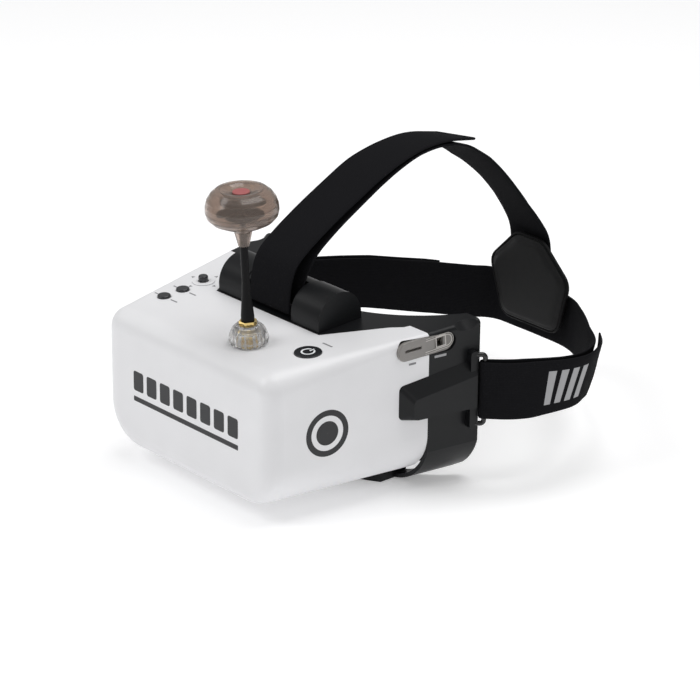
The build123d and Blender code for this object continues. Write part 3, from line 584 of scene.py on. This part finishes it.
@dataclass
class Harness:
    """The three straps, the rear pad and what is printed and sewn on them."""

    low: float = -9.0
    high: float = 27.0
    bar: Point = (103.73, 144.4)
    bar_fold: float = 2.7
    pin: Point = (69.0, 53.0)
    pin_fold: float = 3.7
    lean: float = 4.5
    lean_centre: float = 205.0
    lean_reach: float = 42.0
    far_lean: float = 4.2
    drop: tuple[Point, ...] = ((135, 0), (175, -0.6), (215, -2.6), (250, -7.6), (275, -12.6), (300, -16.0))
    crown_half_width: float = 18.0
    crown_roll: tuple[Point, ...] = (
        (142, 0), (168, 1.4), (186, 1.7), (214, 2.4), (228, 2.4), (240, 0.7), (252, 0),
    )
    crown_turn: tuple[Point, ...] = ((240, 0), (254, -1.2), (264, -1.8), (276, -0.8), (284, 0))
    near_tail: tuple[Point, ...] = (
        (117.4, 154.5), (124, 170), (128.2, 186.6), (128.2, 203), (118.6, 221.6),
    )
    block_starts: tuple[float, ...] = (29.5, 37.5, 45.5, 53.5)
    block_length: float = 5.4
    block_rows: tuple[float, ...] = (-0.62, -0.31, 0.0, 0.31, 0.62)
    block_lift: float = 0.97
    block_step: float = 0.8

    def fold(self, centre: Point, heading: Point, radius: float) -> tuple[Point, Point]:
        """The two corners of a fold round a bar.

        Args:
            centre: the bar's place on the route's plane.
            heading: the way the webbing leaves.
            radius: from the bar's axis to the webbing's middle.

        Returns:
            The corner on each side of the bar.
        """
        ahead = Vector(heading).normalized() * radius
        nose = Vector(centre) - ahead
        across = Vector((ahead.y, -ahead.x))
        return tuple(nose - across), tuple(nose + across)

    def side_place(self, spot: Vector, across: float) -> Vector:
        """Where a point of a side strap is; the near bulge leans out at its top and the far side leans in."""
        sink = follow(self.drop, spot.y)
        middle, half = (self.low + self.high) / 2, (self.high - self.low) / 2
        share = max(0.0, 1 - ((spot.y - self.lean_centre) / self.lean_reach) ** 2)
        ease = share * share * (3 - 2 * share) * across
        swell = ease * (self.lean if spot.x > 60 else self.far_lean if spot.x < -30 else 0.0)
        return Vector((spot.x + swell, spot.y + swell * 0.4, middle + sink + half * across))

    def top_place(self, spot: Vector, across: float) -> Vector:
        """Where a point of the top strap is; it rolls over the crown and turns as it comes down."""
        roll = follow(self.crown_roll, spot.x) * across
        turn = follow(self.crown_turn, spot.x) * across
        return Vector((across * self.crown_half_width, spot.x + turn, spot.y + roll))

    def build(self) -> None:
        """Makes the straps and the pad."""
        inside, outside = self.fold(self.bar, (0.74, 0.67), self.bar_fold)
        right = [
            (0.4, 287.8), (36, 286.8), (70, 262.6), (97.5, 239), (115.5, 219), (123.2, 202), (123.4, 188),
            (119.2, 173), (112, 158.5), inside, outside, *self.near_tail, (103.4, 240.2),
        ]
        outer, inner = self.fold((-self.bar[0], self.bar[1]), (0.05, 1.0), self.bar_fold)
        left = [
            (-0.4, 287.8), (-36.5, 287.6), (-44.5, 271), (-52.5, 254), (-63, 237), (-79, 214), (-93, 189),
            (-99.6, 165), outer, inner, (-105.8, 166), (-98.8, 190.8), (-84, 216.6), (-67.5, 240), (-57, 257),
        ]
        rear, front = self.fold(self.pin, (0.0, 1.0), self.pin_fold)
        ends = sorted([rear, front], reverse=True)
        top = [
            (285.0, 15.5), (283.8, 34), (282.0, 49.4), (272.8, 63.6), (254, 87.4), (232, 108.2), (207, 124.6),
            (187, 128.6), (167, 126.8), (143, 118.6), (104, 96), (85, 82.4), (75.8, 66), *ends, (65.4, 64),
            (69.6, 79), (84, 90), (104, 102.2), (142, 122.4), (167, 129.3), (189, 131.0), (214, 126.3),
        ]
        Strap("right_side_strap", "right_band", right, self.side_place, slant=24.0).build()
        Strap("left_side_strap", "left_band", left, self.side_place).build()
        Strap("crown_strap", "top_band", top, self.top_place).build()
        self.strap_mark()
        RearPad().build()

    def strap_mark(self) -> None:
        """A woven row of plain upright blocks near the tail of the near strap."""
        route = evenly(rounded([(112, 148), *self.near_tail]), self.block_step)
        verts, faces, size = [], [], len(self.block_rows)
        for start in self.block_starts:
            end = start + self.block_length
            chosen = [i for i in range(len(route)) if start <= i * self.block_step <= end]
            first = len(verts)
            for i in chosen:
                heading = (route[min(i + 1, len(route) - 1)] - route[i - 1]).normalized()
                outward = Vector((heading.y, -heading.x)) * self.block_lift
                verts += [self.side_place(route[i] + outward, across) * MM for across in self.block_rows]
            for i in range(len(chosen) - 1):
                for k in range(size - 1):
                    a = first + i * size + k
                    faces.append((a, a + 1, a + 1 + size, a + size))
        new_piece("strap_print", verts, faces, Finishes.PALE_PRINT, MAIN)


# ---------------------------------------------------------------- padded pieces

FILL_FRAMES = 20


def inflate(piece: bpy.types.Object, voxel: float, cap: float, pressure: float = 4.0) -> None:
    """Swells a closed piece as filled cloth, keeps the result and smooths it.

    Args:
        piece: the piece, in place.
        voxel: grid size of the remesh in millimetres.
        cap: the furthest a point may move, in millimetres.
        pressure: the cloth's inner pressure.
    """
    bpy.context.view_layer.objects.active = piece
    piece.select_set(True)
    remesh = piece.modifiers.new("even", "REMESH")
    remesh.mode = "VOXEL"
    remesh.voxel_size = voxel * MM
    bpy.ops.object.modifier_apply(modifier=remesh.name)
    rest = np.array([v.co for v in piece.data.vertices])
    cloth = piece.modifiers.new("fill", "CLOTH")
    cloth.settings.use_pressure = True
    cloth.settings.uniform_pressure_force = pressure
    cloth.settings.effector_weights.gravity = 0
    for number in range(1, FILL_FRAMES + 1):
        bpy.context.scene.frame_set(number)
    shaped = piece.evaluated_get(bpy.context.evaluated_depsgraph_get())
    moved = np.array([v.co for v in shaped.data.vertices]) - rest
    far = np.linalg.norm(moved, axis=1, keepdims=True)
    moved *= np.minimum(1, cap * MM / np.maximum(far, 1e-9))
    piece.modifiers.remove(cloth)
    bpy.context.scene.frame_set(1)
    piece.data.vertices.foreach_set("co", (rest + moved).ravel())
    piece.data.update()
    smooth = piece.modifiers.new("finer", "SUBSURF")
    smooth.levels = 1
    bpy.ops.object.modifier_apply(modifier=smooth.name)
    piece.data.polygons.foreach_set("use_smooth", [True] * len(piece.data.polygons))
    piece.select_set(False)


@dataclass
class RearPad:
    """The six-sided pad that joins the three straps, with a sewn channel inside its edge."""

    outline: tuple[Point, ...] = (
        (12, 28.6), (36, 5), (25, -32.6), (-25, -32.6), (-36, 5), (-12, 28.6),
    )
    centre: tuple[float, float, float] = (4.3, 279.0, 18.6)
    slope: float = 0.042
    thickness: float = 6.4
    rim: float = 2.8
    crown_width: float = 6.0
    channel: float = 2.9
    channel_depth: float = 0.5
    channel_width: float = 0.8
    swell: float = 0.5
    slab_share: float = 0.975
    binding_share: float = 1.012
    binding_radii: Point = (0.95, 1.25)

    def axes(self) -> Matrix:
        """The pad's own axes: across, up along it, and out towards the back."""
        norm = math.hypot(1, self.slope)
        across, up = Vector((-1, 0, 0)), Vector((0, -self.slope, 1)) / norm
        out = Vector((0, 1, self.slope)) / norm
        return Matrix((across, up, out)).transposed()

    def edge_gap(self, local: np.ndarray, edge: np.ndarray) -> np.ndarray:
        """Distance from each point of the pad's plane to its outline."""
        best = np.full(len(local), 1e9)
        for a, b in zip(edge, np.roll(edge, -1, axis=0)):
            run = b - a
            t = np.clip(((local - a) @ run) / max(run @ run, 1e-12), 0, 1)
            best = np.minimum(best, np.linalg.norm(local - (a + t[:, None] * run), axis=1))
        return best

    def build(self) -> bpy.types.Object:
        """Makes the pad: a plain slab, crowned, filled and given its sewn channel.

        Returns:
            The pad.
        """
        axes = self.axes()
        line = rounded(self.outline, closed=True, share=0.2, steps=6)
        edge = np.array([tuple(p) for p in line]) * self.slab_share
        count, half = len(edge), self.thickness / 2 - self.swell
        verts = [axes @ Vector((*p, s * half)) + Vector(self.centre) for s in (-1, 1) for p in edge]
        faces = [tuple(reversed(range(count))), tuple(range(count, 2 * count))]
        faces += band_faces(0, count, count)
        pad = new_piece("head_pad", [v * MM for v in verts], faces, Finishes.PAD_COVER, MAIN)
        face_outwards(pad)
        inflate(pad, 2.0, self.swell)
        turned = np.array(axes)
        local = (np.array([v.co for v in pad.data.vertices]) / MM - np.array(self.centre)) @ turned
        gap = self.edge_gap(local[:, :2], edge)
        rise = np.clip(gap / self.crown_width, 0, 1)
        crown = self.rim / self.thickness + (1 - self.rim / self.thickness) * np.sqrt(rise * (2 - rise))
        local[:, 2] *= crown
        groove = self.channel_depth * np.exp(-(((gap - self.channel) / self.channel_width) ** 2))
        local[:, 2] -= np.sign(local[:, 2]) * np.minimum(groove, np.abs(local[:, 2]) * 0.6)
        pad.data.vertices.foreach_set("co", ((local @ turned.T + np.array(self.centre)) * MM).ravel())
        pad.data.update()
        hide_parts("rear_pad")
        self.piping(axes, edge)
        return pad

    def piping(self, axes: Matrix, edge: np.ndarray) -> None:
        """A thin bound edge right round the pad.

        Args:
            axes: the pad's own axes.
            edge: its outline.
        """
        path = [Vector(p) * self.binding_share for p in edge]
        verts, faces, sides = [], [], 8
        wide, high = self.binding_radii
        for i, here in enumerate(path):
            after = (i + 1) % len(path)
            heading = (path[after] - path[i - 1]).normalized()
            outward = Vector((heading.y, -heading.x))
            for k in range(sides):
                turn = 2 * math.pi * k / sides
                spot = here + outward * (wide * math.cos(turn))
                local = Vector((spot.x, spot.y, high * math.sin(turn)))
                verts.append((axes @ local + Vector(self.centre)) * MM)
            faces += band_faces(i * sides, after * sides, sides)
        binding = new_piece("pad_binding", verts, faces, Finishes.PAD_PIPING, MAIN)
        face_outwards(binding)


@dataclass
class FaceSeal:
    """The foam ring that rests on the wearer's face."""

    shrink: float = 0.9
    swell: float = 0.8

    def build(self) -> bpy.types.Object:
        """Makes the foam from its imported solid, a little smaller, then swells it.

        Returns:
            The foam.
        """
        source = frame["nodes"]["face_foam"].data
        verts = [v.co.copy() for v in source.vertices]
        faces = [tuple(p.vertices) for p in source.polygons]
        foam = new_piece("face_seal", verts, faces, Finishes.FOAM, MAIN)
        mesh = bmesh.new()
        mesh.from_mesh(foam.data)
        bmesh.ops.remove_doubles(mesh, verts=mesh.verts, dist=0.01 * MM)
        mesh.to_mesh(foam.data)
        mesh.free()
        inner = foam.modifiers.new("smaller", "DISPLACE")
        inner.strength = -self.shrink * MM
        inner.mid_level = 0
        bpy.context.view_layer.objects.active = foam
        bpy.ops.object.modifier_apply(modifier=inner.name)
        inflate(foam, 3.0, self.swell)
        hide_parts("face_foam")
        return foam


# ---------------------------------------------------------------- printed marks

RING_POINTS = 48


@dataclass
class Panel:
    """A flat area of the body that marks are printed on, with its own across and up."""

    origin: Vector
    across: Vector
    up: Vector
    lift: float = 0.06

    def point(self, u: float, v: float) -> Vector:
        """A place on the panel, just proud of its surface, in metres."""
        out = self.across.cross(self.up).normalized()
        return (self.origin + self.across.normalized() * u + self.up.normalized() * v + out * self.lift) * MM


class Shape(Enum):
    """The plain shapes that the marks are made of."""

    BAR = "bar"
    RING = "ring"
    ARROW = "arrow"


@dataclass(frozen=True)
class Mark:
    """One printed shape on a panel: its centre, size and turn in degrees."""

    shape: Shape
    u: float
    v: float
    width: float
    height: float
    turn: float = 0.0

    def outline(self, scale: float = 1.0) -> list[Point]:
        """Points round the shape; the scale is a ring's alone."""
        w, h = self.width / 2, self.height / 2
        if self.shape is Shape.BAR:
            corners = [(w, h), (-w, h), (-w, -h), (w, -h)]
            local = [tuple(p) for p in rounded(corners, closed=True, share=0.18, steps=4)]
        elif self.shape is Shape.ARROW:
            local = [(w, 0), (-w, h), (-w, -h)]
        else:
            turns = [2 * math.pi * i / RING_POINTS for i in range(RING_POINTS)]
            local = [(w * scale * math.cos(t), w * scale * math.sin(t)) for t in turns]
        c, s = math.cos(math.radians(self.turn)), math.sin(math.radians(self.turn))
        return [(self.u + x * c - y * s, self.v + x * s + y * c) for x, y in local]

    def print_on(self, panel: Panel, verts: list, faces: list) -> None:
        """Adds the shape to a growing mesh.

        Args:
            panel: where it is printed.
            verts: points so far.
            faces: faces so far.
        """
        first = len(verts)
        outer = [panel.point(*p) for p in self.outline()]
        verts.extend(outer)
        if self.shape is not Shape.RING:
            faces.append(tuple(range(first, first + len(outer))))
            return
        inner = [panel.point(*p) for p in self.outline(1 - 2 * self.height / self.width)]
        verts.extend(inner)
        faces += band_faces(first, first + len(outer), len(outer))


@dataclass
class Prints:
    """All marks on the body: plain shapes in the places where such goggles are labelled."""

    flare: float = 0.147
    front_half: float = 76.8
    top: float = 43.2
    slope: float = 0.06
    arrow_reach: float = 10.6
    window_half: Point = (20.5, 5.7)
    window_tilt: float = 5.6
    window_lift: float = 0.53

    def wall(self, y: float, z: float) -> Panel:
        """The near side wall about a place."""
        origin = Vector((self.front_half + self.flare * y, y, z))
        return Panel(origin, Vector((self.flare, 1, 0)), Vector((0, 0, 1)))

    def deck(self, x: float, y: float) -> Panel:
        """The top surface about a place."""
        origin = Vector((x, y, self.top + self.slope * y))
        return Panel(origin, Vector((1, 0, 0)), Vector((0, 1, self.slope)))

    def sheet(
        self, name: str, finish: Finishes, groups: Sequence[tuple[Panel, Sequence[Mark]]]
    ) -> None:
        """Prints several marks as one piece.

        Args:
            name: the piece's name.
            finish: the ink.
            groups: panels with their marks.
        """
        verts, faces = [], []
        for panel, marks in groups:
            for mark in marks:
                mark.print_on(panel, verts, faces)
        new_piece(name, verts, faces, finish, MAIN)

    def build(self) -> None:
        """Prints the front panel, the side badge and the small labels."""
        front = Panel(Vector((0, 0, 1.2)), Vector((1, 0, 0)), Vector((0, 0, 1)))
        blocks = [Mark(Shape.BAR, -44.5 + 12.7 * i, 3.4, 9.4, 12.6) for i in range(8)]
        line = [Mark(Shape.BAR, 0, -8.2, 98.4, 3.2)]
        self.sheet("front_print", Finishes.DARK_PRINT, [(front, blocks + line)])
        badge = [Mark(Shape.RING, 0, 0, 29.0, 3.6), Mark(Shape.RING, 0, 0, 15.0, 7.4)]
        self.sheet("side_print", Finishes.DARK_PRINT, [(self.wall(39.3, 2.6), badge)])
        reach = self.arrow_reach
        arrows = [
            Mark(Shape.ARROW, reach * math.cos(t), reach * math.sin(t), 2.4, 2.6, math.degrees(t))
            for t in (0, math.pi / 2, math.pi, 3 * math.pi / 2)
        ]
        key_labels = [Mark(Shape.BAR, 9.5, 0, 6.2, 1.1), Mark(Shape.BAR, -7.4, 0, 3.2, 1.0)]
        groups = [
            (self.deck(-64.3, 66.1), arrows),
            (self.deck(-63.2, 34.7), key_labels),
            (self.deck(-63.2, 49.1), key_labels),
            (self.deck(61.8, 57.0), [Mark(Shape.BAR, 0, 0, 8.4, 1.2)]),
            (self.wall(97.4, 33.4), [Mark(Shape.BAR, 0, 0, 5.0, 1.3)]),
        ]
        self.sheet("small_prints", Finishes.LABEL_PRINT, groups)
        under_port = [(self.wall(117.0, 34.4), [Mark(Shape.BAR, 0, 0, 8.4, 1.5)])]
        self.sheet("port_print", Finishes.PALE_PRINT, under_port)
        self.paint_window_highlights()

    def paint_window_highlights(self) -> None:
        """Two pale lines inside the edge of the port window, and a pale frame round its square socket: painted
        highlights where their rounded rims catch the light.
        """
        tilt = math.radians(self.window_tilt)
        wall = self.wall(106.3, 42.3)
        along, up = wall.across.normalized(), Vector((0, 0, 1))
        across = along * math.cos(tilt) + up * math.sin(tilt)
        window = Panel(wall.origin, across, up * math.cos(tilt) - along * math.sin(tilt), self.window_lift)
        long_half, short_half = self.window_half
        verts, faces = [], []
        # Each pale line is a painted highlight along the window's rounded inset edge.
        for inset, width in ((0.9, 0.28), (2.0, 0.5)):
            rings = [self.pill(long_half - inset - w, short_half - inset - w) for w in (0, width)]
            first, count = len(verts), len(rings[0])
            verts += [window.point(*p) for ring in rings for p in ring]
            faces += band_faces(first, first + count, count)
        new_piece("window_rim_highlights", verts, faces, Finishes.WINDOW_LINE, MAIN)
        # A pale frame painted as the highlight along the edge of the square socket.
        sides = ((0, 3.3, 7.2, 0.6), (0, -3.3, 7.2, 0.6), (3.3, 0, 0.6, 6.0), (-3.3, 0, 0.6, 6.0))
        socket = [Mark(Shape.BAR, 10.6 + u, 0.7 + v, w, h) for u, v, w, h in sides]
        self.sheet("socket_rim_highlight", Finishes.WINDOW_LINE, [(window, socket)])

    def pill(self, half_length: float, radius: float) -> list[Point]:
        """Points round a round-ended bar."""
        turns = [math.pi * i / 16 - math.pi / 2 for i in range(17)]
        run = half_length - radius
        right = [(run + radius * math.cos(t), radius * math.sin(t)) for t in turns]
        return right + [(-x, -y) for x, y in right]


# ---------------------------------------------------------------- antenna


@dataclass
class GripCollar:
    """The clear ribbed collar round the antenna's foot."""

    foot: tuple[float, float, float] = (26.7, 26.9, 44.814)
    slope: float = 0.06
    ribs: int = 20
    steps: int = 10
    depth: float = 0.085
    outer: tuple[Point, ...] = (
        (9.3, 0.5), (10.7, 0.5), (11.5, 1.4), (11.8, 2.6), (11.7, 5.0), (10.9, 7.4), (9.6, 9.9), (8.2, 11.3),
        (6.9, 12.4), (5.7, 12.4), (5.7, 11.3), (4.44, 11.3), (4.44, 6.5), (5.6, 6.5), (6.2, 10.0), (9.2, 7.0),
        (10.0, 4.6), (10.0, 2.8),
    )
    ribbed: tuple[int, int] = (1, 8)

    def build(self) -> bpy.types.Object:
        """Makes the collar by turning its section, with ribs on the outside.

        Returns:
            The collar.
        """
        norm = math.hypot(1, self.slope)
        axis = Vector((0, -self.slope, 1)) / norm
        side, depth_way = Vector((1, 0, 0)), Vector((0, 1, self.slope)) / norm
        count, size = self.ribs * self.steps, len(self.outer)
        verts, faces = [], []
        for i in range(count):
            after = (i + 1) % count
            turn = 2 * math.pi * i / count
            wave = 0.5 - 0.5 * math.cos(self.ribs * turn)
            for k, (radius, height) in enumerate(self.outer):
                inset = self.depth * wave**1.5 if self.ribbed[0] <= k <= self.ribbed[1] else 0.0
                reach = radius * (1 - inset)
                out = side * (reach * math.cos(turn)) + depth_way * (reach * math.sin(turn))
                verts.append((Vector(self.foot) + out + axis * height) * MM)
            faces += band_faces(i * size, after * size, size)
        collar = new_piece("ribbed_collar", verts, faces, Finishes.CLEAR_COLLAR, "coupling")
        face_outwards(collar)
        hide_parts("grip_collar")
        return collar


# ---------------------------------------------------------------- studio


@dataclass
class Studio:
    """Pale floor, soft lights and the camera."""

    floor_z: float = -0.0522
    eye: tuple[float, float, float] = (1.306902, -1.030272, 0.710889)
    azimuth: float = 48.417
    elevation: float = 21.982
    roll: float = 0.66
    lens: float = 157.78
    half_floor: float = 6.0
    aim: tuple[float, float, float] = (0.02, 0.12, 0.02)

    def floor(self) -> None:
        """A wide pale floor with a slight glow, so its shadows stay soft."""
        half = self.half_floor
        corners = [(x * half, y * half, self.floor_z) for x, y in ((-1, -1), (1, -1), (1, 1), (-1, 1))]
        mesh = bpy.data.meshes.new("floor")
        mesh.from_pydata(corners, [], [(0, 1, 2, 3)])
        floor = bpy.data.objects.new("floor", mesh)
        bpy.context.scene.collection.objects.link(floor)
        painter = Painter("studio_floor")
        painter.fix({"Roughness": 0.38, "Emission Strength": 0.26, "Specular IOR Level": 0.2})
        painter.shader.inputs["Base Color"].default_value = (0.93, 0.93, 0.935, 1)
        painter.shader.inputs["Emission Color"].default_value = (1, 1, 1, 1)
        mesh.materials.append(painter.material)

    def lamp(self, name: str, place: tuple[float, float, float], size: float, power: float) -> None:
        """A square soft light that faces the goggles.

        Args:
            name: the light's name.
            place: where it hangs.
            size: its side in metres.
            power: its output in watts.
        """
        light = bpy.data.lights.new(name, "AREA")
        light.size, light.energy = size, power
        lamp = bpy.data.objects.new(name, light)
        lamp.location = place
        lamp.rotation_euler = (Vector(self.aim) - Vector(place)).to_track_quat("-Z", "Y").to_euler()
        bpy.context.scene.collection.objects.link(lamp)

    def camera(self) -> None:
        """The camera, level but for a slight roll."""
        a, e, r = (math.radians(x) for x in (self.azimuth, self.elevation, self.roll))
        back = Vector((math.sin(a) * math.cos(e), -math.cos(a) * math.cos(e), math.sin(e)))
        level = Vector((math.cos(a), math.sin(a), 0))
        rise = back.cross(level)
        right = level * math.cos(r) + rise * math.sin(r)
        up = rise * math.cos(r) - level * math.sin(r)
        data = bpy.data.cameras.new("camera")
        data.lens, data.sensor_width = self.lens, 36.0
        data.clip_start, data.clip_end = 0.05, 50
        camera = bpy.data.objects.new("camera", data)
        turned = Matrix((right, up, back)).transposed().to_4x4()
        turned.translation = Vector(self.eye)
        camera.matrix_world = turned
        bpy.context.scene.collection.objects.link(camera)
        bpy.context.scene.camera = camera

    def build(self) -> None:
        """Sets up floor, light and camera."""
        self.floor()
        self.lamp("key", (-0.9, -1.3, 1.7), 1.2, 16)
        self.lamp("overhead", (0.2, 0.5, 1.8), 1.4, 19)
        self.lamp("side", (1.9, -0.2, 1.3), 0.9, 2.5)
        world = bpy.data.worlds.new("room")
        world.use_nodes = True
        world.node_tree.nodes["Background"].inputs["Color"].default_value = (1, 1, 1, 1)
        world.node_tree.nodes["Background"].inputs["Strength"].default_value = 0.36
        bpy.context.scene.world = world
        bpy.context.scene.view_settings.view_transform = "Standard"
        self.camera()


def main() -> None:
    """Builds everything in order."""
    logging.basicConfig(level=logging.INFO, format="%(name)s: %(message)s")
    dress_nodes()
    Studio().build()
    Harness().build()
    FaceSeal().build()
    GripCollar().build()
    Prints().build()


if __name__ == "__main__":
    main()
